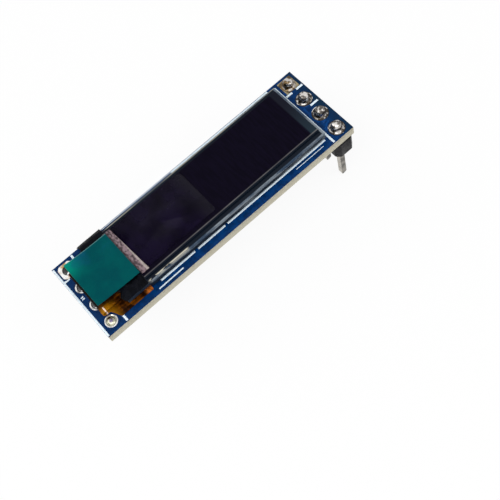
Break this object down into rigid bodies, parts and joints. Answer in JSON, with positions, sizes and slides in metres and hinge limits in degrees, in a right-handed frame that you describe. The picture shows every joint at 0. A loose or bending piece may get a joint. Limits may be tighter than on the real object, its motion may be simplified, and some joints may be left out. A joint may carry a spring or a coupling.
{
  "type": "oled display module",
  "caption": "Narrow circuit board with a bare OLED display panel and its pull tab on top, small parts underneath, and a pin header soldered to one end.",
  "frame": {"origin": "middle of the pin row, level with the underside of the header strip", "axes": "+X along the board towards the header end, +Y across the board, +Z out of the screen; the pins point down -Z"},
  "size_m": [0.033, 0.0102, 0.0118],
  "materials": {
    "board": "blue solder mask, slightly glossy, bare laminate at the cut edges",
    "tinned_copper": "copper plated with bright tin",
    "solder": "bright reflowed solder",
    "header_plastic": "black moulded plastic, satin",
    "pin_metal": "brass plated with bright tin",
    "foam": "black closed-cell foam tape",
    "panel_glass": "clear thin glass with cut edges",
    "seal": "cured seal bead",
    "emitter": "dark emitting layers",
    "polarizer": "near-black polished film",
    "clear_film": "clear protective film",
    "frosted_tape": "frosted adhesive tape",
    "green_film": "dark green translucent film",
    "black_tape": "black light-blocking tape",
    "silicon": "bare silicon, polished",
    "flex_film": "amber polyimide over copper",
    "capacitor_ceramic": "fired ceramic, satin",
    "resistor_ceramic": "black glaze over ceramic",
    "part_ends": "tinned ends with solder fillets",
    "lead_metal": "tinned lead frame",
    "moulded_black": "black moulding compound"
  },
  "bodies": {
    "root": {"pcb": "board", "spare_eyelet_1": "tinned_copper", "spare_eyelet_2": "tinned_copper", "spare_eyelet_3": "tinned_copper", "spare_eyelet_4": "tinned_copper", "solder_plug": "solder", "header_eyelet_1": "tinned_copper", "header_eyelet_2": "tinned_copper", "header_eyelet_3": "tinned_copper", "header_eyelet_4": "tinned_copper", "header_strip": "header_plastic", "header_pin_1": "pin_metal", "header_pin_2": "pin_metal", "header_pin_3": "pin_metal", "header_pin_4": "pin_metal", "solder_joint_1": "solder", "solder_joint_2": "solder", "solder_joint_3": "solder", "solder_joint_4": "solder", "foam_tape": "foam", "rear_glass": "panel_glass", "edge_seal": "seal", "emitter_layer": "emitter", "front_glass": "panel_glass", "polarizer": "polarizer", "protective_film": "clear_film", "frosted_strip": "frosted_tape", "pull_tab": "green_film", "ledge_tape": "black_tape", "driver_chip": "silicon", "display_flex": "flex_film", "flex_contacts": "tinned_copper", "capacitor_1": "capacitor_ceramic", "capacitor_2": "capacitor_ceramic", "capacitor_3": "capacitor_ceramic", "capacitor_4": "capacitor_ceramic", "capacitor_5": "capacitor_ceramic", "capacitor_6": "capacitor_ceramic", "capacitor_7": "capacitor_ceramic", "resistor_1": "resistor_ceramic", "resistor_2": "resistor_ceramic", "resistor_3": "resistor_ceramic", "resistor_4": "resistor_ceramic", "row_a_ends": "part_ends", "row_b_ends": "part_ends", "single_ends": "part_ends", "diode_body": "moulded_black", "diode_leads": "lead_metal", "regulator_body": "moulded_black", "regulator_leads": "lead_metal"}
  },
  "joints": []
}
